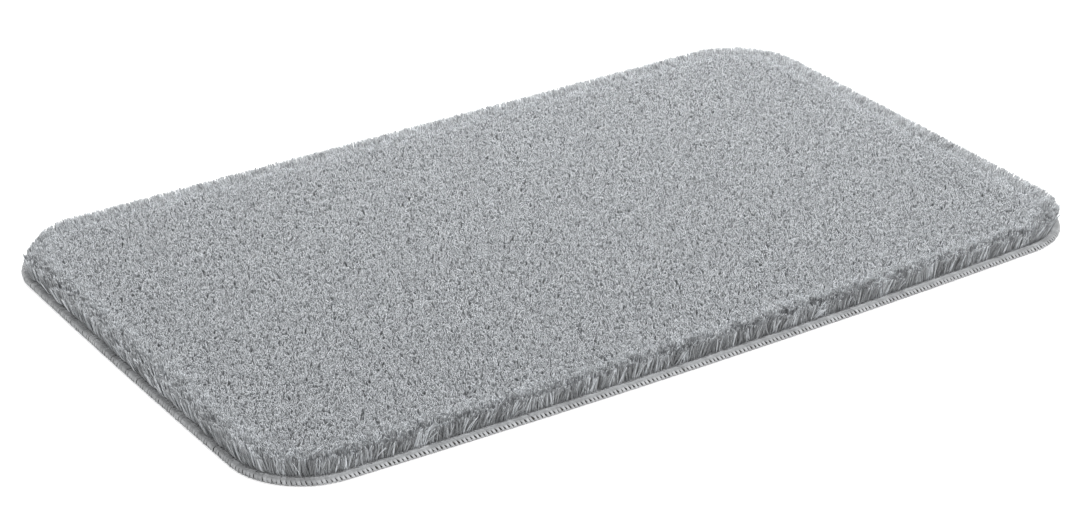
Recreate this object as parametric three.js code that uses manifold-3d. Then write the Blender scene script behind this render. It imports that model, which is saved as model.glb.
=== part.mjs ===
// A tufted bath mat, 600 x 1000 mm: cut pile on a woven backing, latex coats under it, overlocked edge.
// Millimetres, +Z up. The mat lies flat on z = 0, its long side along X, the origin under its middle.

import * as THREE from "three";
import { mergeVertices } from "three/addons/utils/BufferGeometryUtils.js";
import Module from "manifold-3d";

const wasm = await Module();
wasm.setup();

// Plan, measured along the sewn edge
const LENGTH = 1000;
const WIDTH = 600;
const FRONT_BOW = 11; // how far the front long side swells outward at its middle
const LEFT_BOW = 3; // the same for the left end
const CORNER_RADII = { rearRight: 86, rearLeft: 88, frontLeft: 77, frontRight: 81 };
const CORNER_STEPS = 9;
const SIDE_STEPS = 6;

// Clearances between layers that are glued or sewn together
const GAP = 0.3;

// Overlocked edge, from the cut edge inward
const THREAD_THICK = 0.9;
const LOOPER_WIDTH = 7.9;
const NEEDLE_LINE_WIDTH = 1;

// Layers, from the floor up
const NON_SLIP_THICK = 1.9;
const PRECOAT_THICK = 1.6;
const PRIMARY_THICK = 0.6;
const PILE_HEIGHT = 19.5;

// Tuft rows: the yarn dips through the cloth row by row and runs along its underside
const ROW_PITCH = 10;
const ROW_WIDTH = 2.4;
const ROW_THICK = 0.8;
const STEM_WIDTH = 1.2;
const STEM_GRIP = 1; // how far a row's stem is merged into the pile body above it

// Pile shape: it stands on a narrow root, leans out over the stitches and rounds over at the top
const PILE_INSET = 2.4; // from the sewn edge to where the pile is widest
const FLARE_HEIGHT = 9;
const SHOULDER_INSET = 12;
const SHOULDER_DEPTH = 9;
const SHOULDER_STEPS = 5;

// Heights of the layers, worked out from the above
const NON_SLIP_TOP = NON_SLIP_THICK;
const PRECOAT_BASE = NON_SLIP_TOP + GAP;
const PRECOAT_TOP = PRECOAT_BASE + PRECOAT_THICK;
const ROW_BASE = PRECOAT_TOP - ROW_THICK;
const PRIMARY_BASE = PRECOAT_TOP + GAP;
const PRIMARY_TOP = PRIMARY_BASE + PRIMARY_THICK;
const STITCH_BASE = PRIMARY_TOP + GAP;
const STITCH_TOP = STITCH_BASE + THREAD_THICK;
const NECK_TOP = STITCH_TOP + GAP;
const PILE_TOP = STITCH_BASE + PILE_HEIGHT;

// Offsets from the sewn edge, negative inward
const LAYER_EDGE = -(THREAD_THICK + GAP);
const LOOPER_INNER = -LOOPER_WIDTH;
const NEEDLE_OUTER = LOOPER_INNER - GAP;
const NEEDLE_INNER = NEEDLE_OUTER - NEEDLE_LINE_WIDTH;
const PILE_ROOT = NEEDLE_INNER - GAP;
const ROW_END = PILE_ROOT - GAP;

const PILE_GREY = 0xafb3b6;
const THREAD_GREY = 0xaaabad;
const CLOTH_BROWN = 0x554f4b;
const LATEX_BROWN = 0x4b4642;
const FOAM_BROWN = 0x554f4b;

// Corner arcs, anticlockwise from the rear right, joined by straight runs.
function roundedRectangle(halfX, halfY, offset) {
  const { rearRight, rearLeft, frontLeft, frontRight } = CORNER_RADII;
  const corners = [
    [1, 1, rearRight],
    [-1, 1, rearLeft],
    [-1, -1, frontLeft],
    [1, -1, frontRight],
  ];
  return corners.map(([sideX, sideY, plainRadius], quarter) => {
    const radius = plainRadius + offset;
    const centre = new THREE.Vector2(sideX * (halfX - radius), sideY * (halfY - radius));
    return Array.from({ length: CORNER_STEPS + 1 }, (_, step) => {
      const angle = ((quarter + step / CORNER_STEPS) * Math.PI) / 2;
      return new THREE.Vector2(radius, 0).rotateAround(new THREE.Vector2(), angle).add(centre);
    });
  });
}

// The bowed front side and left end, with the outline's middle kept on the origin.
function bowed(point, halfX, halfY) {
  const alongX = 1 - (point.x / halfX) ** 2;
  const alongY = 1 - (point.y / halfY) ** 2;
  const front = point.y < 0 ? FRONT_BOW * alongX * (point.y / halfY) : 0;
  const left = point.x < 0 ? LEFT_BOW * alongY * (point.x / halfX) : 0;
  return new THREE.Vector2(point.x + left + LEFT_BOW / 2, point.y + front + FRONT_BOW / 2);
}

// The mat's plan, moved in or out from the sewn edge by the offset.
function outline(offset) {
  const halfX = LENGTH / 2 + offset;
  const halfY = WIDTH / 2 + offset;
  const arcs = roundedRectangle(halfX, halfY, offset);
  const points = [];
  arcs.forEach((arc, index) => {
    const end = arc[arc.length - 1];
    const next = arcs[(index + 1) % arcs.length][0];
    points.push(...arc);
    for (let step = 1; step < SIDE_STEPS; step += 1) {
      points.push(end.clone().lerp(next, step / SIDE_STEPS));
    }
  });
  return new THREE.Shape(points.map((point) => bowed(point, halfX, halfY)));
}

function slab(offset, base, top) {
  const geometry = new THREE.ExtrudeGeometry(outline(offset), { depth: top - base, bevelEnabled: false });
  return geometry.translate(0, 0, base);
}

function toSolid(geometry) {
  const bare = geometry.clone();
  bare.deleteAttribute("normal");
  bare.deleteAttribute("uv");
  const merged = mergeVertices(bare);
  const mesh = new wasm.Mesh({
    numProp: 3,
    vertProperties: new Float32Array(merged.attributes.position.array),
    triVerts: new Uint32Array(merged.index.array),
  });
  return new wasm.Manifold(mesh);
}

function toGeometry(solid) {
  const mesh = solid.getMesh();
  const geometry = new THREE.BufferGeometry();
  geometry.setAttribute("position", new THREE.BufferAttribute(mesh.vertProperties, mesh.numProp));
  geometry.setIndex(new THREE.BufferAttribute(mesh.triVerts, 1));
  geometry.computeVertexNormals();
  return geometry;
}

function ring(outer, inner, base, top) {
  const hole = toSolid(slab(inner, base - GAP, top + GAP));
  return toSolid(slab(outer, base, top)).subtract(hole);
}

// Straight bars along X, one for every row of tufts, cut off where the pile ends.
function rowBars(width, base, top, edge) {
  const rows = Math.floor((WIDTH + 2 * PILE_ROOT) / ROW_PITCH);
  const limit = toSolid(slab(edge, base, top));
  const bars = Array.from({ length: rows }, (_, row) => {
    const bar = new THREE.BoxGeometry(LENGTH, width, top - base);
    bar.translate(0, (row - (rows - 1) / 2) * ROW_PITCH, (base + top) / 2);
    return toSolid(bar);
  });
  return bars.reduce((all, bar) => all.add(bar)).intersect(limit);
}

// Latex foam that grips the floor, thinner at the rim where the looper thread passes under it.
function nonSlipBacking() {
  const sole = toSolid(slab(LOOPER_INNER - GAP, 0, NON_SLIP_TOP));
  const rim = toSolid(slab(LAYER_EDGE, THREAD_THICK + GAP, NON_SLIP_TOP));
  return toGeometry(sole.add(rim));
}

// Latex coat with a groove round each row of back stitches, which it locks under the cloth.
function latexPrecoat() {
  const coat = toSolid(slab(LAYER_EDGE, PRECOAT_BASE, PRECOAT_TOP));
  const grooves = rowBars(ROW_WIDTH + 2 * GAP, ROW_BASE - GAP, PRECOAT_TOP + GAP, ROW_END + GAP);
  return toGeometry(coat.subtract(grooves));
}

// Woven cloth with a slit where each row of yarn goes through it.
function primaryBacking() {
  const cloth = toSolid(slab(LAYER_EDGE, PRIMARY_BASE, PRIMARY_TOP));
  const slits = rowBars(STEM_WIDTH + 2 * GAP, PRIMARY_BASE - GAP, PRIMARY_TOP + GAP, ROW_END + GAP);
  return toGeometry(cloth.subtract(slits));
}

// A body of even height whose rim widens by the swell, straight or rounded, at its foot and its top.
function swollen(foot, swell, depth, steps, base) {
  const geometry = new THREE.ExtrudeGeometry(outline(foot), {
    depth: PILE_HEIGHT,
    bevelEnabled: true,
    bevelThickness: depth,
    bevelSize: swell,
    bevelSegments: steps,
  });
  return toSolid(geometry.translate(0, 0, base + depth));
}

// The cut pile as one soft body: a neck between the stitches, a flare above it, a rounded shoulder.
function pileBody() {
  const neck = toSolid(slab(PILE_ROOT, STITCH_BASE, NECK_TOP + GAP));
  const flare = swollen(PILE_ROOT, -PILE_INSET - PILE_ROOT, FLARE_HEIGHT, 1, NECK_TOP);
  const crownFoot = PILE_TOP - PILE_HEIGHT - 2 * SHOULDER_DEPTH;
  const crownEdge = -PILE_INSET - SHOULDER_INSET;
  const crown = swollen(crownEdge, SHOULDER_INSET, SHOULDER_DEPTH, SHOULDER_STEPS, crownFoot);
  return flare.intersect(crown).add(neck);
}

// The yarn is one piece from the tips of the pile, through the cloth, to the back stitches.
function pileYarn() {
  const stems = rowBars(STEM_WIDTH, ROW_BASE, STITCH_BASE + STEM_GRIP, ROW_END);
  const backStitches = rowBars(ROW_WIDTH, ROW_BASE, PRECOAT_TOP, ROW_END);
  return toGeometry(pileBody().add(stems).add(backStitches));
}

// The two looper threads cover the top and the underside and interlock half-way up the cut edge.
function looper(faceBase, faceTop, wallBase, wallTop) {
  const face = ring(0, LOOPER_INNER, faceBase, faceTop);
  const wall = ring(0, -THREAD_THICK, wallBase, wallTop);
  return toGeometry(face.add(wall));
}

const EDGE_MIDDLE = STITCH_TOP / 2;

function upperLooper() {
  return looper(STITCH_BASE, STITCH_TOP, EDGE_MIDDLE + GAP / 2, STITCH_TOP);
}

function lowerLooper() {
  return looper(0, THREAD_THICK, 0, EDGE_MIDDLE - GAP / 2);
}

function needleLine() {
  return toGeometry(ring(NEEDLE_OUTER, NEEDLE_INNER, STITCH_BASE, STITCH_TOP));
}

const mat = new THREE.Group();

function addPiece(name, geometry, color, roughness) {
  const material = new THREE.MeshStandardMaterial({ color, roughness, metalness: 0 });
  const mesh = new THREE.Mesh(geometry, material);
  mesh.name = name;
  mat.add(mesh);
}

addPiece("non_slip_backing", nonSlipBacking(), FOAM_BROWN, 0.9);
addPiece("latex_precoat", latexPrecoat(), LATEX_BROWN, 0.7);
addPiece("primary_backing", primaryBacking(), CLOTH_BROWN, 0.9);
addPiece("pile_yarn", pileYarn(), PILE_GREY, 0.95);
addPiece("needle_thread", needleLine(), THREAD_GREY, 0.8);
addPiece("upper_looper_thread", upperLooper(), THREAD_GREY, 0.8);
addPiece("lower_looper_thread", lowerLooper(), THREAD_GREY, 0.8);

export default mat;
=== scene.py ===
"""A tufted bath mat: cut pile of fine yarn, overlocked edge, woven cloth and latex backing. Metres."""

import math

import bpy
import numpy as np
from mathutils import Euler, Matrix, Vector


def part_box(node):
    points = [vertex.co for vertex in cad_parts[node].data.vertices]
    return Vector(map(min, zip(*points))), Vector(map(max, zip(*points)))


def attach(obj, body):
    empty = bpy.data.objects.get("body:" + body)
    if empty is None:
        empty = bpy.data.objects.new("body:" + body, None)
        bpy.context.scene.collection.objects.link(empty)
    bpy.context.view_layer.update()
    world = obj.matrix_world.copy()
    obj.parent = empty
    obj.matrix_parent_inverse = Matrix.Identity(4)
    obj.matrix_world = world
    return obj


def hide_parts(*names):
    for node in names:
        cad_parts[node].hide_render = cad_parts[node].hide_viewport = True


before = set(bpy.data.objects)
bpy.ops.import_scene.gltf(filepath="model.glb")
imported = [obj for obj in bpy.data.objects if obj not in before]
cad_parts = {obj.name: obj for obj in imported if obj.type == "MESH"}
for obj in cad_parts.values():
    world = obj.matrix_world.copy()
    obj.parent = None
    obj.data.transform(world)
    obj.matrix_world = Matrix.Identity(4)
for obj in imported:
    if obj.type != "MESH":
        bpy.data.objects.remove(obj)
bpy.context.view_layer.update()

MM = 0.001
SEED = 20261117
TINY = 1e-9  # keeps a direction's length from being zero

# Levels and plan, read from the CAD frame
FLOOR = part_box("non_slip_backing")[0].z
FOAM_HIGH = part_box("non_slip_backing")[1].z
CLOTH_LOW, CLOTH_HIGH = (corner.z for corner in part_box("primary_backing"))
BAND_LOW, BAND_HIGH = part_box("lower_looper_thread")[0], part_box("upper_looper_thread")[1]
PILE_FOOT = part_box("needle_thread")[0].z
PILE_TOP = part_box("pile_yarn")[1].z

# Plan of the sewn edge: a rounded rectangle whose front side and left end swell outward
FRONT_BOW = 11 * MM
LEFT_BOW = 3 * MM
HALF_X = (BAND_HIGH.x - BAND_LOW.x - LEFT_BOW) / 2
HALF_Y = (BAND_HIGH.y - BAND_LOW.y - FRONT_BOW) / 2
RADIUS = {"rear_right": 86 * MM, "rear_left": 88 * MM, "front_left": 77 * MM, "front_right": 81 * MM}
CORNER_POINTS = 60  # points of the edge line on each corner

# Camera and light: places and sizes in metres, power in watts
LENS = 97.6
CAMERA_PLACE = (-1.5510, -2.3099, 1.3859)
CAMERA_DOWN = 26.732  # degrees below level
CAMERA_TURN = -33.682  # degrees round from looking along +Y
KEY = {"place": (0.66, 1.37, 2.05), "size": 1.4, "power": 72}
FILL = {"place": (0.3, -1.2, 2.6), "size": 2.4, "power": 44}
SKY = [(0.0, 1.0), (0.22, 1.0), (0.36, 0.5), (0.6, 0.5), (1.0, 0.9)]  # height in the sky, brightness
SKY_TO_RIGHT = 0.15  # how much brighter the sky is on the right
FLOOR_GREY = 0.55
FLOOR_GLOW = 0.65
FLOOR_HALF = 6.0
FLOOR_GAP = 0.2 * MM

# Overlocked edge
THREAD_CLEARANCE = 0.3 * MM
NEEDLE_INSET = BAND_HIGH.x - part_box("needle_thread")[1].x
LOOPER_REACH = NEEDLE_INSET - THREAD_CLEARANCE  # how far in from the edge the looper threads lie
STITCH_PITCH = 4.6 * MM
STITCH_JITTER = 0.16 * MM  # how far a stitch lies from its place
STITCH_GROWTH = 0.07  # how much the stitches differ in thickness
# Painted shade: the stitches at the left end, in the pile's shadow, are darkened
LEFT_STITCH_PAINTED_SHADE = 0.35  # the left end's stitches are this much darker

# Pile: its strands, from root to tip
ROOT_INSET = NEEDLE_INSET + 0.6 * MM  # from the sewn edge to the outermost strands
YARN_LENGTH = PILE_TOP - PILE_FOOT
YARN_RADIUS = 0.46 * MM
STRAND_PITCH = 1.45 * MM
POINT_JITTER = 0.4  # how far a strand stands from its place in the grid, as a share of the pitch
RIM_WIDTH = 26 * MM  # within this of the outermost strands, each is made whole, from its root up
TINT_COLUMNS = 32  # the bake layer's columns, one for each tint
COLUMN_MARGIN, TIP_MARGIN = 0.1, 0.01  # the shares of a column and of its height left free at each side
# Where a strand's rings and its tip lie along its length, and how thick its rings are. A field strand
# starts halfway up, because the core hides what is below.
FIELD_TIMES, FIELD_THICKNESS = [0.55, 0.88, 1.0], [1.0, 1.0]
RIM_TIMES, RIM_THICKNESS = [0.0, 0.18, 0.5, 0.86, 1.0], [0.9, 1.0, 1.1, 1.1]
FIELD_COLUMNS, FIELD_ROWS = 8, 2
RIM_SECTORS = 6
CURL = 2.2 * MM  # how far a tip bends aside
CURL_SPREAD = 0.5 * MM
CURL_POWER = 1.6
CURL_FROM = 0.76  # the share of the length at which the curl begins
CURL_DROOP = 0.55  # how far a curled tip sinks, as a share of its way aside
STRAY = 0.8 * MM  # how far tips stray, each by itself, and with their clump and the waves
SPIKE = 1.5 * MM  # the most that a tip may stand above the pile
ARCH = 0.12  # how much more steeply a strand rises at its foot than on the whole
LEAST_RISE = 0.35  # the least height of a leaning strand, as a share of its length
LENGTH_SPREAD = 0.015
WAVE_SIZE, SWELL_SIZE = 24 * MM, 14 * MM  # of the smooth waves in its lean, and in its height and shade
SWELL = 0.2 * MM  # how uneven the top of the pile is
FIELD_TINT = 0.5  # tints run from 0, dark, to 1, light
SHADE_TINT, CLUMP_TINT, STRAND_TINT = 0.1, 0.08, 0.135  # how much a tint varies by place, clump and strand

# Pile: the fan of strands at the rim
FAN = 6.5 * MM  # how far the outermost strands' tips stand out beyond their roots
FAN_TO_RIGHT = 4.0 * MM  # added at the right end, taken off at the left one
FAN_TO_REAR = 1.5 * MM  # added at the rear, taken off at the front
FAN_REAR_LEFT = 6 * MM  # taken off at the rear left corner
FAN_DEPTH = 10.5 * MM  # strands nearer the rim than this fan out, parted from the upright ones
FAN_SOFTNESS = 1.8 * MM
FAN_RAGGED = {"lock": 1.5 * MM, "tuft": 1.2 * MM}  # how ragged the fan's inner edge is
FAN_ORDER = 0.6  # how much less a fanned strand strays and gathers in clumps
FAN_STRAIGHT = 0.7  # how much less it curls
FAN_LONGER, FAN_UNEVEN = 0.06, 0.03  # it is longer by the first share, less up to the second
CUT_BACK, CUT_BACK_DEPTH, CUT_BACK_FROM = 0.25, 4 * MM, 0.6  # some strands at the very rim are cut shorter
BEND, FAN_BEND = 1.35, 0.25  # the power by which a strand bends, and how much lower it is in the fan
LEFT_BULGE = 2.2 * MM  # at the left end the pile is pushed out over the stitches, low down
LEFT_BULGE_UP = 0.2  # the share of a strand's length at which it is all the way out
LEFT_BULGE_SPREAD = {"lock": 0.25, "tuft": 0.3}  # how much the groups differ in it
LEFT_SWEEP = 6 * MM  # at the left end the strands also sweep along the edge, toward the rear
LEFT_SWEEP_SPREAD, SWEEP_POWER = 0.4, 0.7

# Pile: strands gather in clumps all over, and at the rim in locks, tufts in the locks and yarns in the tufts
GROUP_PITCH = {"clump": 5 * MM, "lock": 12 * MM, "tuft": 4.5 * MM, "ply": 2.2 * MM}
RIM_GROUPS = ("lock", "tuft", "ply")
CLUMP_GATHER = 0.15  # the share of the way to its centre that a group draws its strands' tips
GATHER = {"lock": 0.15, "tuft": 0.3, "ply": 0.4}
LEAN_OUT = {"lock": 1.0, "tuft": 1.0, "ply": 1.2}  # how far a group leans outward, in millimetres
LEAN_ASIDE = {"lock": 2.0, "tuft": 2.8, "ply": 2.6}  # and how far aside
GROUP_TINT = {"lock": 0.1, "tuft": 0.25, "ply": 0.4}  # how much the groups differ in tint
# Painted shade: a group's strands are darker away from its centre, in the gaps between groups, where shade
# falls.
PARTING_PAINTED_SHADE = {"lock": 0.35, "tuft": 0.45, "ply": 0.4}  # how dark a group's strands are away from its centre
PARTED_TINT = 0.24  # how light they are at the centre
LEFT_EVENNESS = 0.35  # how much less this shows at the left end
# Painted shade: the fan's strands on the pile's sides are tinted darker, most of all at the right end.
RIM_TINT, FAN_PAINTED_SHADE, FAN_PAINTED_SHADE_RIGHT = 0.65, 0.12, 0.07  # the fan is darker, most of all at the right end
TINT_FURTHER = 1.5 * MM  # how much further in than the fan its tint reaches

# How combed the pile is at the rim: less toward the right and the rear, more toward the left and front
COMBED = 0.9
COMBED_TO_RIGHT, COMBED_AT_RIGHT, COMBED_TO_REAR = 0.6, 0.8, 0.7
LEAST_COMBED = 0.15
COMBED_THINNER = 0.1  # how much thinner a combed strand is

# Backing cloth and foam: how far in from the sewn edge they end, and the spacing of their meshes
CLOTH_INSET, CLOTH_STEP = 1.8 * MM, 8 * MM
FOAM_INSET, FOAM_STEP = 1.0 * MM, 3.6 * MM
RIB_PITCH, RIB_HEIGHT = 5 * MM, 0.16 * MM
PEBBLE_SIZE, PEBBLE_HEIGHT = 5 * MM, 0.12 * MM
UNEVEN_SIZE, UNEVEN_HEIGHT = 40 * MM, 0.05 * MM
FOAM_RIM, FOAM_RIM_LIFT = 1.5 * MM, 0.45 * MM  # the foam's rim, raised clear of the looper thread

# Finishes
SPECULAR = 0.25
SHEEN_ROUGHNESS = 0.6
BUMP_STRENGTH = 0.6


# ---------------------------------------------------------------- plan of the mat

def corner_radius(x, y):
    """The radius of the corner nearest to each point."""
    rear = np.where(x > 0, RADIUS["rear_right"], RADIUS["rear_left"])
    front = np.where(x > 0, RADIUS["front_right"], RADIUS["front_left"])
    return np.where(y > 0, rear, front)


def inset_and_normal(x, y):
    """How far points lie inside the sewn edge, and the outward direction there, before the bow."""
    radius = corner_radius(x, y)
    over_x = np.abs(x) - (HALF_X - radius)
    over_y = np.abs(y) - (HALF_Y - radius)
    out_x, out_y = np.maximum(over_x, 0), np.maximum(over_y, 0)
    reach = np.hypot(out_x, out_y)
    outside = np.minimum(np.maximum(over_x, over_y), 0) + reach - radius
    in_corner = (over_x > 0) & (over_y > 0)
    safe = np.maximum(reach, TINY)
    normal_x = np.where(in_corner, out_x / safe, over_x > over_y) * np.sign(x)
    normal_y = np.where(in_corner, out_y / safe, over_x <= over_y) * np.sign(y)
    return -outside, normal_x, normal_y


def bowed(points):
    """Points of the plain rounded rectangle, moved to the mat's slightly swollen plan."""
    x, y = points[..., 0].copy(), points[..., 1].copy()
    front = np.where(y < 0, FRONT_BOW * (1 - (x / HALF_X) ** 2) * y / HALF_Y, 0)
    left = np.where(x < 0, LEFT_BOW * (1 - (y / HALF_Y) ** 2) * x / HALF_X, 0)
    moved = points.copy()
    moved[..., 0] = x + left + LEFT_BOW / 2
    moved[..., 1] = y + front + FRONT_BOW / 2
    return moved


def edge_line():
    """The plain sewn edge as a dense closed line: points, outward normals and distance along it."""
    points, normals = [], []
    corners = [(1, 1, "rear_right"), (-1, 1, "rear_left"), (-1, -1, "front_left"), (1, -1, "front_right")]
    for quarter, (side_x, side_y, name) in enumerate(corners):
        radius = RADIUS[name]
        angle = np.radians(np.linspace(90 * quarter, 90 * quarter + 90, CORNER_POINTS))
        normal = np.stack([np.cos(angle), np.sin(angle)], 1)
        centre = np.array([side_x * (HALF_X - radius), side_y * (HALF_Y - radius)])
        points.append(centre + radius * normal)
        normals.append(normal)
    points, normals = np.concatenate(points), np.concatenate(normals)
    points, normals = np.vstack([points, points[:1]]), np.vstack([normals, normals[:1]])
    along = np.r_[0, np.cumsum(np.linalg.norm(np.diff(points, axis=0), axis=1))]
    return points, normals, along


EDGE_POINTS, EDGE_NORMALS, EDGE_ALONG = edge_line()
EDGE_LENGTH = EDGE_ALONG[-1]


def at_edge(distance, offset):
    """Plan positions at these distances along the edge, moved outward by the offset."""
    d = np.mod(distance, EDGE_LENGTH)
    point = np.stack([np.interp(d, EDGE_ALONG, EDGE_POINTS[:, k]) for k in (0, 1)], -1)
    normal = np.stack([np.interp(d, EDGE_ALONG, EDGE_NORMALS[:, k]) for k in (0, 1)], -1)
    normal /= np.linalg.norm(normal, axis=-1, keepdims=True)
    return point + normal * np.asarray(offset)[..., None]


# ---------------------------------------------------------------- smooth variation

class Waves:
    """A smooth random field over the plan, about -1 to 1, with features of a given size."""

    LENGTHS = (0.7, 1.6)  # the shortest and longest wave, as shares of the size
    CALM = 1.4  # keeps most values between -1 and 1

    def __init__(self, rng, size, count=14):
        angle = rng.uniform(0, 2 * math.pi, count)
        length = size * rng.uniform(*self.LENGTHS, count)
        self.kx = 2 * math.pi * np.cos(angle) / length
        self.ky = 2 * math.pi * np.sin(angle) / length
        self.phase = rng.uniform(0, 2 * math.pi, count)
        self.scale = math.sqrt(2 / count) / self.CALM

    def __call__(self, x, y):
        total = np.zeros_like(x)
        for kx, ky, phase in zip(self.kx, self.ky, self.phase):
            total += np.sin(kx * x + ky * y + phase)
        return total * self.scale


class Clumps:
    """Points gathered into cells of a jittered grid: the way to a cell's centre, its random values."""

    JITTER = 0.42  # how far a centre moves from its place in the grid, as a share of the pitch
    LIMIT = 2  # the most that a random value may be

    def __init__(self, x, y, pitch, rng, count=4):
        size = 3 + int(math.ceil(max(HALF_X, HALF_Y) / pitch))
        jitter = rng.uniform(-self.JITTER, self.JITTER, (2 * size, 2 * size, 2))
        values = rng.normal(0, 1, (2 * size, 2 * size, count))
        cell_x, cell_y = np.round(x / pitch).astype(int), np.round(y / pitch).astype(int)
        best = np.full(x.shape, np.inf)
        self.to_x, self.to_y = np.zeros_like(x), np.zeros_like(y)
        found_x, found_y = np.zeros_like(cell_x), np.zeros_like(cell_y)
        for step_x in (-1, 0, 1):
            for step_y in (-1, 0, 1):
                ix, iy = cell_x + step_x + size, cell_y + step_y + size
                shift = jitter[ix, iy]
                dx = (ix - size + shift[:, 0]) * pitch - x
                dy = (iy - size + shift[:, 1]) * pitch - y
                gap = dx * dx + dy * dy
                closer = gap < best
                best = np.where(closer, gap, best)
                self.to_x, self.to_y = np.where(closer, dx, self.to_x), np.where(closer, dy, self.to_y)
                found_x, found_y = np.where(closer, ix, found_x), np.where(closer, iy, found_y)
        self.values = np.clip(values[found_x, found_y], -self.LIMIT, self.LIMIT)


# ---------------------------------------------------------------- meshes

def mesh_object(name, vertices, loops, starts, material, uv=None):
    """A smooth mesh from flat lists: corner indices, and where each polygon starts among them."""
    mesh = bpy.data.meshes.new(name)
    mesh.vertices.add(len(vertices))
    mesh.vertices.foreach_set("co", np.ascontiguousarray(vertices, np.float32).ravel())
    mesh.loops.add(len(loops))
    mesh.loops.foreach_set("vertex_index", np.ascontiguousarray(loops, np.int32))
    mesh.polygons.add(len(starts))
    mesh.polygons.foreach_set("loop_start", np.ascontiguousarray(starts, np.int32))
    if uv is not None:
        layer = mesh.uv_layers.new(name="OFBake")
        layer.data.foreach_set("uv", np.ascontiguousarray(uv, np.float32).ravel())
    mesh.update(calc_edges=True)
    mesh.shade_smooth()
    mesh.materials.append(material)
    obj = bpy.data.objects.new(name, mesh)
    bpy.context.scene.collection.objects.link(obj)
    return obj


def strand_template(rings, sides):
    """Loops of one closed strand: a cap at its foot, rings of quads, and a fan to its tip."""
    loops, starts, side, ring = [], [], [], []

    def polygon(corners):
        starts.append(len(loops))
        for ring_index, side_index, place in corners:
            tip = ring_index == rings
            loops.append(rings * sides if tip else ring_index * sides + side_index % sides)
            side.append(place)
            ring.append(ring_index)

    polygon([(0, s, s / sides) for s in reversed(range(sides))])
    for r in range(rings - 1):
        for s in range(sides):
            polygon([(r, s, 0), (r, s + 1, 1), (r + 1, s + 1, 1), (r + 1, s, 0)])
    for s in range(sides):
        polygon([(rings - 1, s, 0), (rings - 1, s + 1, 1), (rings, 0, 0.5)])
    return np.array(loops), np.array(starts), np.array(side), np.array(ring)


def strands(name, centres, radii, along, tint, material, reference, widths=None, sides=3):
    """Closed tapering strands. centres is (n, rings + 1, 3), whose last point is the tip.
    reference is a direction for each strand. Where widths differ from radii, they lie along it."""
    count, rings = centres.shape[0], centres.shape[1] - 1
    direction = np.gradient(centres, axis=1)
    direction /= np.maximum(np.linalg.norm(direction, axis=2, keepdims=True), TINY)
    thick = np.cross(direction, np.broadcast_to(reference[:, None, :], direction.shape))
    thick /= np.maximum(np.linalg.norm(thick, axis=2, keepdims=True), TINY)
    wide = np.cross(thick, direction)
    widths = radii if widths is None else widths
    angle = 2 * np.pi * np.arange(sides) / sides
    ring_points = (
        centres[:, :rings, None, :]
        + (radii[:, :, None] * np.cos(angle))[..., None] * thick[:, :rings, None, :]
        + (widths[:, :, None] * np.sin(angle))[..., None] * wide[:, :rings, None, :]
    )
    vertices = np.concatenate([ring_points.reshape(count, rings * sides, 3), centres[:, rings:, :]], axis=1)
    loops, starts, side, ring = strand_template(rings, sides)
    per = rings * sides + 1
    all_loops = (loops[None, :] + per * np.arange(count)[:, None]).ravel()
    all_starts = (starts[None, :] + len(loops) * np.arange(count)[:, None]).ravel()
    column = np.clip((tint * TINT_COLUMNS).astype(int), 0, TINT_COLUMNS - 1)
    u = (column[:, None] + COLUMN_MARGIN + (1 - 2 * COLUMN_MARGIN) * side[None, :]) / TINT_COLUMNS
    v = np.broadcast_to(along, (count, rings + 1))[:, ring]
    uv = np.stack([u, TIP_MARGIN + (1 - 2 * TIP_MARGIN) * v], -1).reshape(-1, 2)
    return mesh_object(name, vertices.reshape(-1, 3), all_loops, all_starts, material, uv)


def grid_sheet(name, inset, step, low, high, material):
    """A closed sheet of the mat's plan. low and high give its faces' heights over plan positions."""
    y = np.linspace(-HALF_Y + inset, HALF_Y - inset, int(2 * HALF_Y / step))
    share = np.linspace(-1, 1, int(2 * HALF_X / step))
    reach = []
    for side in (-1, 1):
        radius = corner_radius(np.full_like(y, side), y) - inset
        over = np.clip(np.abs(y) - (HALF_Y - inset - radius), 0, None)
        reach.append(HALF_X - inset - radius + np.sqrt(np.maximum(radius**2 - over**2, 0)))
    left, right = -reach[0][:, None], reach[1][:, None]
    x = left + (right - left) * (share[None, :] + 1) / 2
    y = np.broadcast_to(y[:, None], x.shape)
    rows, columns = x.shape
    top = bowed(np.stack([x, y, high(x, y)], -1)).reshape(-1, 3)
    bottom = bowed(np.stack([x, y, low(x, y)], -1)).reshape(-1, 3)
    index = np.arange(rows * columns).reshape(rows, columns)
    quads = np.stack([index[:-1, :-1], index[:-1, 1:], index[1:, 1:], index[1:, :-1]], -1).reshape(-1, 4)
    rim = np.concatenate([index[0, :], index[1:, -1], index[-1, -2::-1], index[-2:0:-1, 0]])
    after = np.roll(rim, -1)
    total = rows * columns
    wall = np.stack([rim + total, after + total, after, rim], -1)
    faces = np.concatenate([quads, quads[:, ::-1] + total, wall])
    return mesh_object(
        name, np.concatenate([top, bottom]), faces.ravel(), 4 * np.arange(len(faces)), material
    )


def ring_body(name, profile, material, steps=420):
    """A closed solid of the mat's plan. profile gives its rings as (inset, height), from the bottom up."""
    distance = np.linspace(0, EDGE_LENGTH, steps, endpoint=False)
    rings = []
    for inset, height in profile:
        plan = at_edge(distance, np.full(steps, -inset))
        rings.append(bowed(np.column_stack([plan, np.full(steps, height)])))
    vertices = np.concatenate(rings)
    here = np.arange(steps)
    after = np.roll(here, -1)
    loops, starts = [here[::-1]], [0]
    used = steps
    for level in range(len(profile) - 1):
        low, high = level * steps, (level + 1) * steps
        quads = np.stack([low + here, low + after, high + after, high + here], -1)
        loops.append(quads.ravel())
        starts.extend(used + 4 * np.arange(steps))
        used += 4 * steps
    starts.append(used)
    loops.append((len(profile) - 1) * steps + here)
    return mesh_object(name, vertices, np.concatenate(loops), np.array(starts), material)


# ---------------------------------------------------------------- materials

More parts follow.
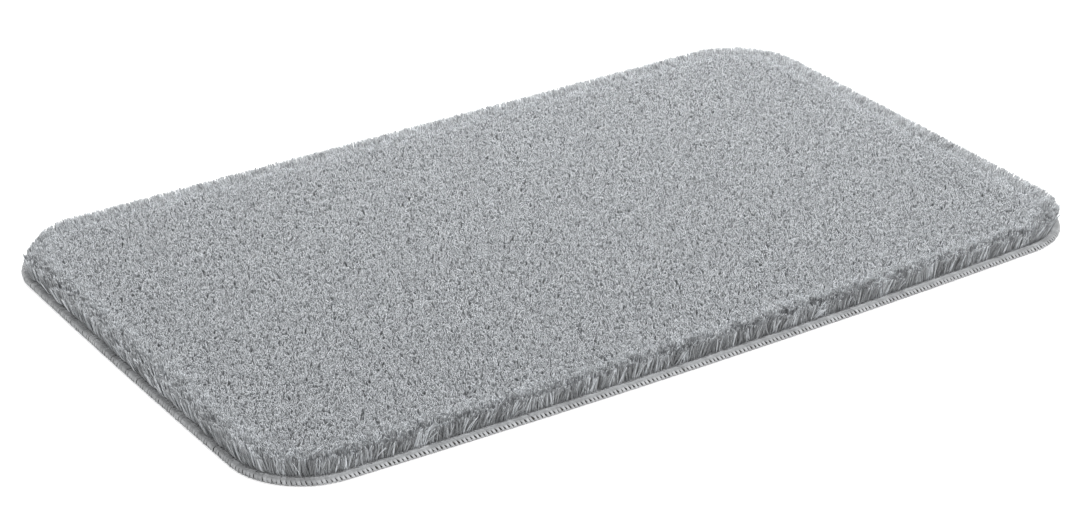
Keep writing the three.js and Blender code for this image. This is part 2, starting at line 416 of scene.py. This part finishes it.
def new_material(name, roughness, sheen=0.0):
    """A matte textile or rubber shader."""
    material = bpy.data.materials.new(name)
    material.use_nodes = True
    shader = material.node_tree.nodes["Principled BSDF"]
    shader.inputs["Roughness"].default_value = roughness
    shader.inputs["Specular IOR Level"].default_value = SPECULAR
    shader.inputs["Sheen Weight"].default_value = sheen
    shader.inputs["Sheen Roughness"].default_value = SHEEN_ROUGHNESS
    return material, material.node_tree, shader


def math_node(tree, operation, a, b):
    """The output of a math node. a and b are numbers or sockets."""
    node = tree.nodes.new("ShaderNodeMath")
    node.operation = operation
    for socket, value in zip(node.inputs, (a, b)):
        if isinstance(value, (int, float)):
            socket.default_value = value
        else:
            tree.links.new(value, socket)
    return node.outputs[0]


def ramp(tree, factor, stops):
    """A colour ramp. stops are (place, colour)."""
    node = tree.nodes.new("ShaderNodeValToRGB")
    elements = node.color_ramp.elements
    while len(elements) < len(stops):
        elements.new(0.5)
    for element, (place, colour) in zip(elements, stops):
        element.position = place
        element.color = (*colour, 1)
    tree.links.new(factor, node.inputs[0])
    return node.outputs[0]


def yarn_material(name, stops, spread, roughness=0.9, sheen=0.25):
    """Yarn whose colour changes from root to tip, with a tint for every strand; the callers' ramps and tints
    carry painted light and shade.
    """
    material, tree, shader = new_material(name, roughness, sheen)
    uv = tree.nodes.new("ShaderNodeUVMap")
    uv.uv_map = "OFBake"
    parts = tree.nodes.new("ShaderNodeSeparateXYZ")
    tree.links.new(uv.outputs[0], parts.inputs[0])
    colour = ramp(tree, parts.outputs[1], stops)
    column = math_node(tree, "FLOOR", math_node(tree, "MULTIPLY", parts.outputs[0], TINT_COLUMNS), 0)
    share = math_node(tree, "DIVIDE", column, TINT_COLUMNS - 1)
    gain = math_node(tree, "ADD", math_node(tree, "MULTIPLY", share, 2 * spread), 1 - spread)
    mix = tree.nodes.new("ShaderNodeVectorMath")
    mix.operation = "SCALE"
    tree.links.new(colour, mix.inputs[0])
    tree.links.new(gain, mix.inputs["Scale"])
    tree.links.new(mix.outputs[0], shader.inputs["Base Color"])
    return material


def add_bump(tree, shader, height, depth):
    """Relief from a height socket. depth is in metres."""
    bump = tree.nodes.new("ShaderNodeBump")
    bump.inputs["Strength"].default_value = BUMP_STRENGTH
    bump.inputs["Distance"].default_value = depth
    tree.links.new(height, bump.inputs["Height"])
    tree.links.new(bump.outputs[0], shader.inputs["Normal"])


def speckled_material(name, dark, light, grain, depth, roughness):
    """Latex, foam or yarn darkened by painted shade: a fine irregular grain."""
    material, tree, shader = new_material(name, roughness)
    place = tree.nodes.new("ShaderNodeTexCoord")
    noise = tree.nodes.new("ShaderNodeTexNoise")
    noise.inputs["Scale"].default_value = 1 / grain
    noise.inputs["Detail"].default_value = 3
    tree.links.new(place.outputs["Object"], noise.inputs["Vector"])
    tree.links.new(ramp(tree, noise.outputs[0], [(0.3, dark), (0.7, light)]), shader.inputs["Base Color"])
    add_bump(tree, shader, noise.outputs[0], depth)
    return material


def woven_material(name, dark, light, pitch, depth, roughness):
    """Plain woven cloth: two crossing sets of ribs."""
    material, tree, shader = new_material(name, roughness)
    place = tree.nodes.new("ShaderNodeTexCoord")
    parts = tree.nodes.new("ShaderNodeSeparateXYZ")
    tree.links.new(place.outputs["Object"], parts.inputs[0])
    ribs = [
        math_node(tree, "SINE", math_node(tree, "MULTIPLY", parts.outputs[axis], 2 * math.pi / pitch), 0)
        for axis in (0, 1)
    ]
    crossing = math_node(tree, "MULTIPLY", math_node(tree, "ADD", ribs[0], ribs[1]), 0.25)
    weave = math_node(tree, "ADD", crossing, 0.5)
    tree.links.new(ramp(tree, weave, [(0.1, dark), (0.9, light)]), shader.inputs["Base Color"])
    add_bump(tree, shader, weave, depth)
    return material


# ---------------------------------------------------------------- camera, floor and light

def add_camera():
    """The camera, from the front left and above."""
    camera = bpy.data.cameras.new("camera")
    camera.sensor_width = 36
    camera.lens = LENS
    camera.clip_end = 50
    obj = bpy.data.objects.new("camera", camera)
    obj.location = CAMERA_PLACE
    obj.rotation_euler = Euler((math.radians(90 - CAMERA_DOWN), 0, math.radians(CAMERA_TURN)))
    bpy.context.scene.collection.objects.link(obj)
    bpy.context.scene.camera = obj


def add_area_light(name, place, size, power):
    """A round soft light, aimed at the middle of the mat."""
    light = bpy.data.lights.new(name, "AREA")
    light.shape = "DISK"
    light.size = size
    light.energy = power
    obj = bpy.data.objects.new(name, light)
    obj.location = place
    obj.rotation_euler = (-Vector(place)).to_track_quat("-Z", "Y").to_euler()
    bpy.context.scene.collection.objects.link(obj)


def add_studio():
    """A pale floor under a white and grey sky, a soft key light from the rear right, and a fill light."""
    scene = bpy.context.scene
    scene.view_settings.view_transform = "Standard"
    world = bpy.data.worlds.new("studio")
    world.use_nodes = True
    tree = world.node_tree
    place = tree.nodes.new("ShaderNodeTexCoord")
    parts = tree.nodes.new("ShaderNodeSeparateXYZ")
    tree.links.new(place.outputs["Generated"], parts.inputs[0])
    colour = ramp(tree, parts.outputs[2], [(height, (level,) * 3) for height, level in SKY])
    tree.links.new(colour, tree.nodes["Background"].inputs[0])
    strength = math_node(tree, "ADD", math_node(tree, "MULTIPLY", parts.outputs[0], SKY_TO_RIGHT), 1.0)
    tree.links.new(strength, tree.nodes["Background"].inputs[1])
    scene.world = world
    add_area_light("key", **KEY)
    add_area_light("fill", **FILL)
    floor_material, _, shader = new_material("floor_pale", 0.8)
    shader.inputs["Base Color"].default_value = (FLOOR_GREY, FLOOR_GREY, FLOOR_GREY, 1)
    shader.inputs["Emission Color"].default_value = (1, 1, 1, 1)
    shader.inputs["Emission Strength"].default_value = FLOOR_GLOW
    corners = [(-1, -1), (1, -1), (1, 1), (-1, 1)]
    vertices = [(x * FLOOR_HALF, y * FLOOR_HALF, FLOOR - FLOOR_GAP) for x, y in corners]
    floor = mesh_object("floor", np.array(vertices), np.arange(4), np.array([0]), floor_material)


# ---------------------------------------------------------------- pile

def hex_points(pitch, rng):
    """Jittered points of a triangular grid over the plan."""
    rows = np.arange(-HALF_Y, HALF_Y, pitch * math.sqrt(3) / 2)
    columns = np.arange(-HALF_X, HALF_X, pitch)
    x = columns[None, :] + (np.arange(len(rows)) % 2)[:, None] * pitch / 2
    y = np.broadcast_to(rows[:, None], x.shape)
    jitter = rng.uniform(-POINT_JITTER, POINT_JITTER, (2, *x.shape)) * pitch
    return (x + jitter[0]).ravel(), (y + jitter[1]).ravel()


def fanned_share(depth):
    """1 for strands that fan out at the rim, 0 for upright ones."""
    return 1 / (1 + np.exp((depth - FAN_DEPTH) / FAN_SOFTNESS))


def rear_left_share(nx, ny):
    """1 in the middle of the rear left corner, 0 at its ends."""
    return 2 * np.maximum(-nx, 0) * np.maximum(ny, 0)


def combed_share(nx, ny):
    """The pile is combed into locks on the front and left sides, and lies smooth on the others."""
    to_right = COMBED_TO_RIGHT * nx + COMBED_AT_RIGHT * np.maximum(nx, 0)
    return np.clip(COMBED - to_right - COMBED_TO_REAR * ny - rear_left_share(nx, ny), LEAST_COMBED, 1)


def over_groups(weights, strand, column):
    """The sum of one column of the rim groups' values, each group with its own weight."""
    return sum(weights[group] * strand[group][:, column] for group in RIM_GROUPS)


def pile_paths(strand, times, rng):
    """Centre lines of strands: fanned outward in locks at the rim, curled at the tip inside it."""
    x, y = strand["x"], strand["y"]
    _, nx, ny = inset_and_normal(x, y)
    depth, near = strand["inset"] - ROOT_INSET, strand["fanned"]
    left, rear_left = np.maximum(-nx, 0) ** 2, rear_left_share(nx, ny)
    clump, lock, tuft = strand["clump"], strand["lock"], strand["tuft"]
    combed = near * combed_share(nx, ny)
    loose = 1 - FAN_ORDER * near

    # Where the tip goes, seen from above
    outward = (FAN + FAN_TO_RIGHT * nx + FAN_TO_REAR * ny - FAN_REAR_LEFT * rear_left**2) * near
    outward = outward + MM * combed * over_groups(LEAN_OUT, strand, 2)
    aside = MM * combed * over_groups(LEAN_ASIDE, strand, 3)
    sweep = -LEFT_SWEEP * left * combed * (1 + LEFT_SWEEP_SPREAD * lock[:, 3])
    stray = rng.normal(0, STRAY, (2, *x.shape)) * loose
    lean_x = STRAY * loose * (clump[:, 2] + strand["wave"][:, 0])
    lean_y = STRAY * loose * (clump[:, 3] + strand["wave"][:, 1])
    to_x = CLUMP_GATHER * loose * clump[:, 0] + combed * over_groups(GATHER, strand, 0)
    to_y = CLUMP_GATHER * loose * clump[:, 1] + combed * over_groups(GATHER, strand, 1)
    shift_x = nx * outward - ny * aside + lean_x + stray[0] + to_x
    shift_y = ny * outward + nx * aside + lean_y + stray[1] + to_y

    # How high it gets: a strand that leans further stands lower
    layer = rng.uniform(0, 1, x.shape)
    cut_back = CUT_BACK * np.exp(-depth / CUT_BACK_DEPTH) * np.clip(layer - CUT_BACK_FROM, 0, 1)
    length = strand["length"] * (1 + FAN_LONGER * near - FAN_UNEVEN * near * layer - cut_back)
    reach = np.hypot(np.hypot(shift_x, shift_y), sweep)
    rise = np.sqrt(np.maximum(length**2 - reach**2, (LEAST_RISE * length) ** 2)) + strand["lift"]

    # The way from root to tip
    heading = rng.uniform(0, 2 * math.pi, x.shape)
    curl = np.abs(rng.normal(CURL, CURL_SPREAD, x.shape)) * (1 - FAN_STRAIGHT * near)
    curl_x, curl_y = (curl * np.cos(heading))[:, None], (curl * np.sin(heading))[:, None]
    t = np.asarray(times)[None, :]
    bend = t ** (BEND - FAN_BEND * near[:, None])
    hook = np.clip((t - CURL_FROM) / (1 - CURL_FROM), 0, 1) ** CURL_POWER
    droop = CURL_DROOP * curl[:, None] * hook
    uneven = 1 + LEFT_BULGE_SPREAD["lock"] * lock[:, 2] + LEFT_BULGE_SPREAD["tuft"] * tuft[:, 2]
    bulge = LEFT_BULGE * near * left * (1 - np.maximum(ny, 0)) * uneven
    low_bend, swept = bulge[:, None] * np.clip(t / LEFT_BULGE_UP, 0, 1), sweep[:, None] * t**SWEEP_POWER
    low_x = nx[:, None] * low_bend - ny[:, None] * swept
    low_y = ny[:, None] * low_bend + nx[:, None] * swept
    line = np.stack(
        [
            x[:, None] + shift_x[:, None] * bend + low_x + curl_x * hook,
            y[:, None] + shift_y[:, None] * bend + low_y + curl_y * hook,
            PILE_FOOT + rise[:, None] * ((1 + ARCH) * t - ARCH * t**3) - droop,
        ],
        -1,
    )
    line[..., 2] = np.minimum(line[..., 2], PILE_TOP + SPIKE)
    return bowed(line)


def strand_facts(rng):
    """Where every strand stands, what it belongs to, and its own length, tint and turn; at the rim the tint
    carries painted shade.
    """
    comb_x, comb_y, swell, shade = (
        Waves(rng, size, count=24) for size in (WAVE_SIZE, WAVE_SIZE, SWELL_SIZE, SWELL_SIZE)
    )
    x, y = hex_points(STRAND_PITCH, rng)
    inside = inset_and_normal(x, y)[0] > ROOT_INSET
    x, y = x[inside], y[inside]
    inset, normal_x, normal_y = inset_and_normal(x, y)
    groups = {group: Clumps(x, y, pitch, rng) for group, pitch in GROUP_PITCH.items()}
    clumps, locks, tufts = groups["clump"], groups["lock"], groups["tuft"]

    # The fan's inner edge is ragged, and its tint, painted shade included, reaches a little further in
    combing = combed_share(normal_x, normal_y)
    ragged = combing * (FAN_RAGGED["lock"] * locks.values[:, 0] + FAN_RAGGED["tuft"] * tufts.values[:, 0])
    fanned = fanned_share(inset - ROOT_INSET + ragged)
    tinted = fanned_share(inset - ROOT_INSET + ragged - TINT_FURTHER)
    combed = tinted * combing

    own_tint = SHADE_TINT * shade(x, y) + CLUMP_TINT * clumps.values[:, 1]
    own_tint = own_tint + rng.normal(0, STRAND_TINT, x.shape)
    parted = PARTED_TINT + sum(GROUP_TINT[group] * groups[group].values[:, 1] for group in RIM_GROUPS)
    # painted shade in the gaps between groups
    for group in RIM_GROUPS:
        from_centre = np.hypot(groups[group].to_x, groups[group].to_y) / GROUP_PITCH[group]
        parted = parted - PARTING_PAINTED_SHADE[group] * from_centre
    parted = parted * (1 + LEFT_EVENNESS * np.minimum(normal_x, 0))
    # painted shade on the fan, darker still at the right end
    shaded = tinted * (FAN_PAINTED_SHADE + FAN_PAINTED_SHADE_RIGHT * np.maximum(normal_x, 0))
    rim_tint = RIM_TINT - shaded + combed * parted
    rim = inset < ROOT_INSET + RIM_WIDTH
    turn = rng.uniform(0, 2 * math.pi, x.shape)
    strand = {
        "x": x,
        "y": y,
        "inset": inset,
        "rim": rim,
        "fanned": fanned,
        "thickness": 1 - COMBED_THINNER * combed,
        "length": YARN_LENGTH * (1 + rng.normal(0, LENGTH_SPREAD, x.shape)),
        "lift": SWELL * (swell(x, y) + clumps.values[:, 0]),
        "wave": np.column_stack([comb_x(x, y), comb_y(x, y)]),
        "tint": np.clip(own_tint + np.where(rim, rim_tint, FIELD_TINT), 0, 1),
        "turn": np.column_stack([np.cos(turn), np.sin(turn), np.zeros(len(x))]),
    }
    for group, made in groups.items():
        strand[group] = np.column_stack([made.to_x, made.to_y, made.values[:, 2:]])
    return strand


def add_pile(field_material, rim_material):
    """The pile in pieces: a grid of upright field strands, and sectors of the longer ones at the rim."""
    rng = np.random.default_rng(SEED)
    strand = strand_facts(rng)
    x, y, rim = strand["x"], strand["y"], strand["rim"]
    made = []

    def part(name, chosen, times, thickness, material):
        own = {key: value[chosen] for key, value in strand.items()}
        path = pile_paths(own, times, rng)
        radii = YARN_RADIUS * own["thickness"][:, None] * np.array(thickness)
        made.append(strands(name, path, radii, np.array(times), own["tint"], material, own["turn"]))

    column = np.clip(((x + HALF_X) / (2 * HALF_X) * FIELD_COLUMNS).astype(int), 0, FIELD_COLUMNS - 1)
    row = np.clip(((y + HALF_Y) / (2 * HALF_Y) * FIELD_ROWS).astype(int), 0, FIELD_ROWS - 1)
    for index in range(FIELD_COLUMNS * FIELD_ROWS):
        chosen = ~rim & (column == index % FIELD_COLUMNS) & (row == index // FIELD_COLUMNS)
        part(f"pile_field_{index + 1}", chosen, FIELD_TIMES, FIELD_THICKNESS, field_material)
    angle = np.arctan2(y / HALF_Y, x / HALF_X)
    sector = np.clip(((angle / math.pi + 1) / 2 * RIM_SECTORS).astype(int), 0, RIM_SECTORS - 1)
    for index in range(RIM_SECTORS):
        chosen = rim & (sector == index)
        part(f"pile_rim_{index + 1}", chosen, RIM_TIMES, RIM_THICKNESS, rim_material)
    return made


def add_pile_core(material):
    """The dense lower mass of the pile, in the shade between the strands; its grey, darker than the yarn's,
    is painted shade.
    """
    # Millimetres in from the outermost strands, and up from their feet
    steps = [(1.0, 1.2), (3.5, 1.8), (4.5, 5), (6, 9), (10, 11)]
    profile = [(ROOT_INSET + 0.8 * MM, CLOTH_HIGH + 0.1 * MM)]
    profile += [(ROOT_INSET + inward * MM, PILE_FOOT + up * MM) for inward, up in steps]
    return ring_body("pile_core", profile, material)


# ---------------------------------------------------------------- overlocked edge

STITCHES = round(EDGE_LENGTH / STITCH_PITCH)
STITCH_PITCH_FITTED = EDGE_LENGTH / STITCHES


def mm(*values):
    """Millimetres as a list of metres."""
    return [value * MM for value in values]


def edge_paths(stitch, points):
    """Paths along the rim. points are (along, in stitches; offset outward; height), one for each ring."""
    along, offset, height = (np.array(column)[None, :] for column in zip(*points))
    distance = (stitch[:, None] + along) * STITCH_PITCH_FITTED
    offset = np.broadcast_to(offset, distance.shape)
    plan = at_edge(distance, offset)
    height = np.broadcast_to(height, distance.shape)
    return bowed(np.concatenate([plan, height[..., None]], -1))


def edge_tangent(stitch):
    """The direction along the edge at each stitch."""
    distance = stitch * STITCH_PITCH_FITTED
    ahead = at_edge(distance + MM, np.zeros(len(stitch)))
    behind = at_edge(distance - MM, np.zeros(len(stitch)))
    tangent = (ahead - behind) / np.linalg.norm(ahead - behind, axis=1, keepdims=True)
    return np.column_stack([tangent, np.zeros(len(stitch))])


def add_threads(name, points, thick, wide, material, rng, sides=8, wider_left=0.0):
    """One thread's stitches all round. wider_left is how much wider they are at the left end, where they are
    also darker by painted shade.
    """
    stitch = np.arange(STITCHES).astype(float)
    tangent = edge_tangent(stitch)
    left = np.sqrt(np.maximum(-tangent[:, 1:2], 0))
    path = edge_paths(stitch, points)
    path = path + rng.normal(0, STITCH_JITTER, (STITCHES, 1, 3)) * np.array([1, 1, 0.5])
    grow = 1 + rng.normal(0, STITCH_GROWTH, (STITCHES, 1))
    radii = np.array(thick)[None, :] * grow
    widths = np.array(wide)[None, :] * grow * (1 + left * np.array(wider_left))
    along = np.linspace(0, 1, len(points))
    # painted shade at the left end
    tint = np.clip(rng.uniform(0.28, 0.72, STITCHES) - LEFT_STITCH_PAINTED_SHADE * left[:, 0], 0, 1)
    return strands(name, path, radii, along, tint, material, tangent, widths, sides)


def add_overlock(material):
    """The overlocked edge: upper looper, the chain on the cut edge, lower looper, and needle thread.
    Each has its path as edge_paths takes it, then the half thicknesses and half widths of its rings."""
    rng = np.random.default_rng(SEED + 1)
    top, low = BAND_HIGH.z, BAND_LOW.z
    needle_line = -LOOPER_REACH - 0.7 * MM
    upper = add_threads(
        "upper_looper_stitches",
        [
            (-0.12, -LOOPER_REACH - 0.6 * MM, top - 1.0 * MM),
            (-0.1, -LOOPER_REACH + 0.2 * MM, top - 0.65 * MM),
            (-0.05, -5.2 * MM, top - 0.55 * MM),
            (0.02, -3.4 * MM, top - 0.6 * MM),
            (0.1, -1.9 * MM, top - 0.8 * MM),
            (0.2, -0.9 * MM, top - 1.6 * MM),
            (0.3, -0.4 * MM, top - 2.6 * MM),
            (0.38, -0.2 * MM, top - 3.5 * MM),
            (0.42, -0.4 * MM, top - 3.9 * MM),
        ],
        mm(0.3, 0.5, 0.55, 0.55, 0.5, 0.42, 0.4, 0.4),
        mm(2.0, 2.6, 3.0, 2.75, 1.9, 1.4, 1.3, 1.55),
        material,
        rng,
        wider_left=[-0.2, -0.2, -0.2, 0.0, 0.15, 0.35, 0.4, 0.4],
    )
    chain = add_threads(
        "edge_chain",
        [
            (-0.1, -0.6 * MM, low + 2.0 * MM),
            (0.05, -0.15 * MM, low + 2.25 * MM),
            (0.4, 0, low + 2.15 * MM),
            (0.75, -0.1 * MM, low + 1.95 * MM),
            (1.0, -0.6 * MM, low + 1.75 * MM),
        ],
        mm(0.35, 0.5, 0.6, 0.5),
        mm(0.4, 0.55, 0.6, 0.5),
        material,
        rng,
        sides=6,
    )
    lower = add_threads(
        "lower_looper_stitches",
        [
            (0.42, -0.6 * MM, low + 2.2 * MM),
            (0.45, -0.3 * MM, low + 1.7 * MM),
            (0.5, -0.25 * MM, low + 1.1 * MM),
            (0.58, -0.8 * MM, low + 0.7 * MM),
            (0.75, -4.0 * MM, low + 0.65 * MM),
            (0.9, -LOOPER_REACH, low + 0.65 * MM),
            (0.95, -LOOPER_REACH - 0.3 * MM, low + 0.7 * MM),
        ],
        mm(0.35, 0.45, 0.5, 0.48, 0.42, 0.4),
        mm(0.75, 0.9, 0.95, 1.15, 2.1, 2.0),
        material,
        rng,
    )
    needle = add_threads(
        "needle_stitches",
        [
            (0.02, needle_line, top - 0.8 * MM),
            (0.15, needle_line, top - 0.4 * MM),
            (0.5, needle_line, top - 0.3 * MM),
            (0.85, needle_line, top - 0.4 * MM),
            (0.98, needle_line, top - 0.8 * MM),
        ],
        mm(0.35, 0.5, 0.55, 0.5),
        mm(0.35, 0.5, 0.55, 0.5),
        material,
        rng,
        sides=6,
        wider_left=0.6,
    )
    return upper, chain, lower, needle


# ---------------------------------------------------------------- backing layers

def add_backing(cloth_material, foam_material):
    """The woven cloth, and the latex foam with a ribbed and pebbled underside that rises at its rim."""
    cloth = grid_sheet(
        "primary_backing_cloth",
        CLOTH_INSET,
        CLOTH_STEP,
        lambda x, y: np.full(x.shape, CLOTH_LOW),
        lambda x, y: np.full(x.shape, CLOTH_HIGH),
        cloth_material,
    )
    rng = np.random.default_rng(SEED + 2)
    pebble, uneven = Waves(rng, PEBBLE_SIZE, count=30), Waves(rng, UNEVEN_SIZE)

    def underside(x, y):
        depth, _, _ = inset_and_normal(x, y)
        ribs = 0.5 - 0.5 * np.cos(2 * math.pi * y / RIB_PITCH)
        pebbles = 0.5 + 0.5 * np.clip(pebble(x, y), -1, 1)
        relief = RIB_HEIGHT * ribs + PEBBLE_HEIGHT * pebbles
        relief = relief + UNEVEN_HEIGHT * (1 + np.clip(uneven(x, y), -1, 1))
        lift = np.clip((LOOPER_REACH + FOAM_RIM - depth) / FOAM_RIM, 0, 1)
        return FLOOR + relief + lift * (FOAM_RIM_LIFT - relief)

    def topside(x, y):
        return np.full(x.shape, FOAM_HIGH)

    foam = grid_sheet("latex_foam_backing", FOAM_INSET, FOAM_STEP, underside, topside, foam_material)
    return cloth, foam


# ---------------------------------------------------------------- assembly

add_camera()
add_studio()

# Painted shade: the field yarn darkens toward its roots, for the shade deep in the pile.
pile_material = yarn_material(
    "pile_yarn_grey",
    [(0.0, (0.31, 0.32, 0.332)), (0.8, (0.44, 0.455, 0.473)), (1.0, (0.53, 0.549, 0.571))],
    spread=0.1,
)
# The pile core's dark grey is painted shade, for the shade deep between the strands.
core_material = speckled_material(
    "pile_core_painted_shade",
    (0.20, 0.207, 0.214),
    (0.33, 0.341, 0.352),
    grain=1.2 * MM,
    depth=0.4 * MM,
    roughness=1.0,
)
# The ramp's light start is painted light: it lifts the upper looper's inner ends out of the pile's shade.
thread_material = yarn_material(
    "overlock_thread_grey",
    [
        (0.0, (0.52, 0.53, 0.543)),
        (0.2, (0.51, 0.52, 0.533)),
        (0.32, (0.37, 0.378, 0.387)),
        (0.42, (0.335, 0.342, 0.351)),
        (0.6, (0.45, 0.459, 0.47)),
        (1.0, (0.46, 0.469, 0.48)),
    ],
    spread=0.3,
)
# The backing's dark browns show in the gaps between the stitches, and stand in part for the shade there:
# partly painted shade.
cloth_material = woven_material(
    "primary_cloth",
    (0.055, 0.050, 0.045),
    (0.12, 0.111, 0.10),
    pitch=1.4 * MM,
    depth=0.2 * MM,
    roughness=0.9,
)
foam_material = speckled_material(
    "non_slip_latex",
    (0.065, 0.058, 0.05),
    (0.115, 0.103, 0.09),
    grain=2.5 * MM,
    depth=0.3 * MM,
    roughness=0.8,
)
latex_material = speckled_material(
    "precoat_latex",
    (0.045, 0.04, 0.035),
    (0.095, 0.086, 0.075),
    grain=4 * MM,
    depth=0.2 * MM,
    roughness=0.8,
)
# The rim yarn is a lit and shaded copy of the pile yarn: painted light lifts its roots out of the crevice's
# shade, and painted shade darkens its tips on the pile's sides.
rim_material = yarn_material(
    "pile_rim_grey_painted_light_and_shade",
    [(0.0, (0.55, 0.567, 0.585)), (0.8, (0.41, 0.425, 0.441)), (1.0, (0.432, 0.448, 0.466))],
    spread=0.5,
)

pile_parts = add_pile(pile_material, rim_material)
pile_core = add_pile_core(core_material)
upper, chain, lower, needle = add_overlock(thread_material)
cloth, foam = add_backing(cloth_material, foam_material)
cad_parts["latex_precoat"].data.materials.clear()
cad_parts["latex_precoat"].data.materials.append(latex_material)

for piece in [*pile_parts, pile_core]:
    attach(piece, "root")
for piece in (upper, chain, lower, needle):
    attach(piece, "root")
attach(cloth, "root")
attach(foam, "root")
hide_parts("pile_yarn")
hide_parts("upper_looper_thread")
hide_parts("lower_looper_thread")
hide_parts("needle_thread")
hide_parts("primary_backing")
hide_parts("non_slip_backing")
